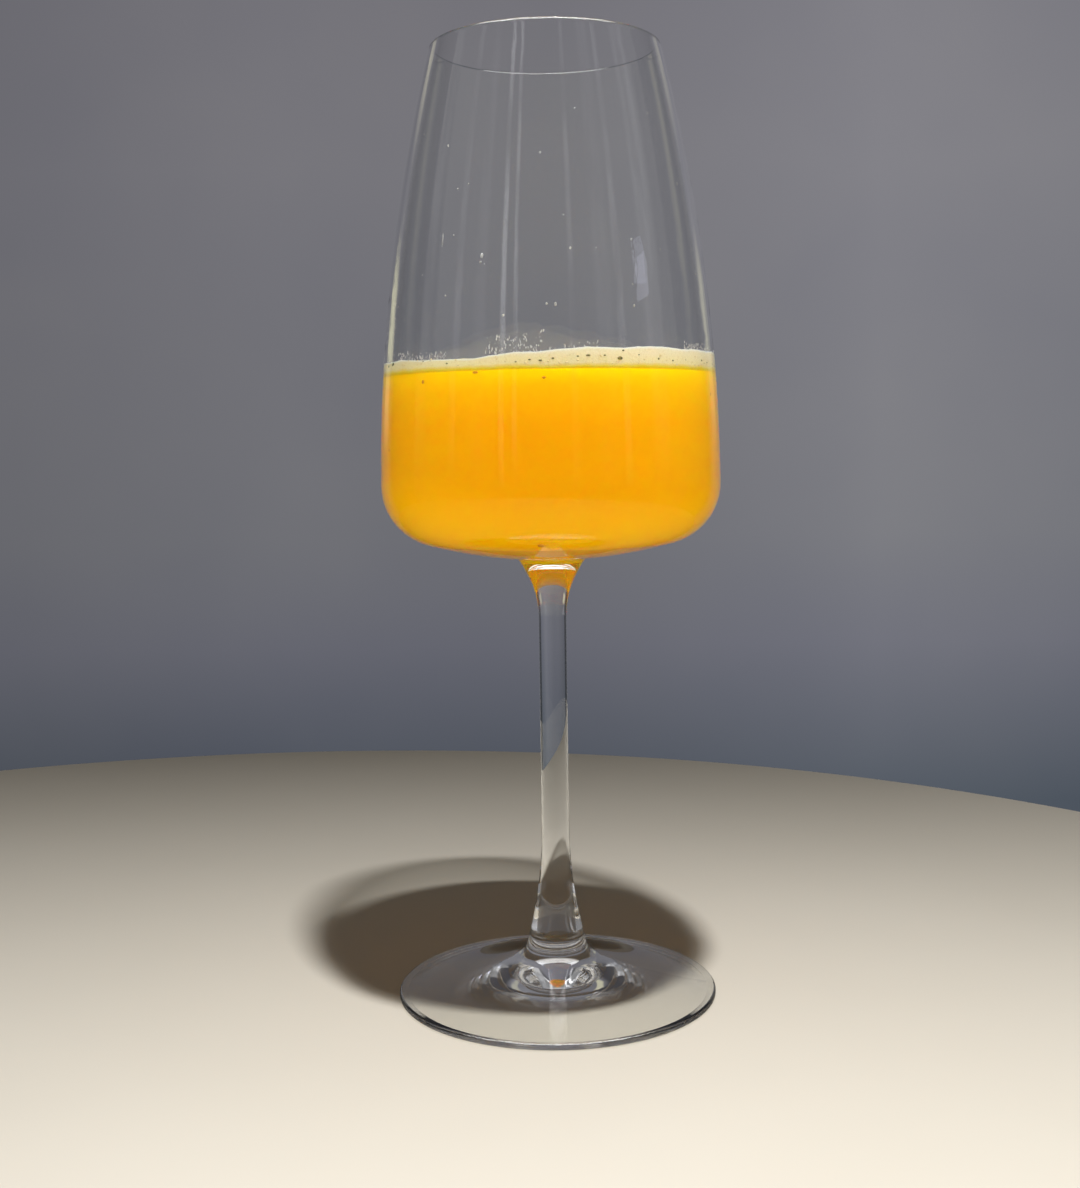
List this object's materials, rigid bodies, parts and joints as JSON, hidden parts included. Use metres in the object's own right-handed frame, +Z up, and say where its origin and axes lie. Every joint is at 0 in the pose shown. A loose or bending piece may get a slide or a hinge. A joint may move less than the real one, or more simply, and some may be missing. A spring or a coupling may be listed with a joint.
{
  "type": "glass of mimosa",
  "caption": "Stemmed wine glass with a tapered, flat-based bowl, part filled with orange mimosa under a thin uneven layer of pale foam.",
  "frame": {"origin": "middle of the foot, on the surface that the glass stands on", "axes": "+Z up along the stem to the rim, -Y towards the side that the reference view looks at"},
  "size_m": [0.0841, 0.0842, 0.235],
  "materials": {
    "glass": "clear, fire-polished, colourless",
    "drink": "cloudy orange drink, wet",
    "foam": "pale yellow foam, fine bubbles"
  },
  "bodies": {
    "root": {"glass": "glass", "drink": "drink", "foam": "foam"}
  },
  "joints": []
}
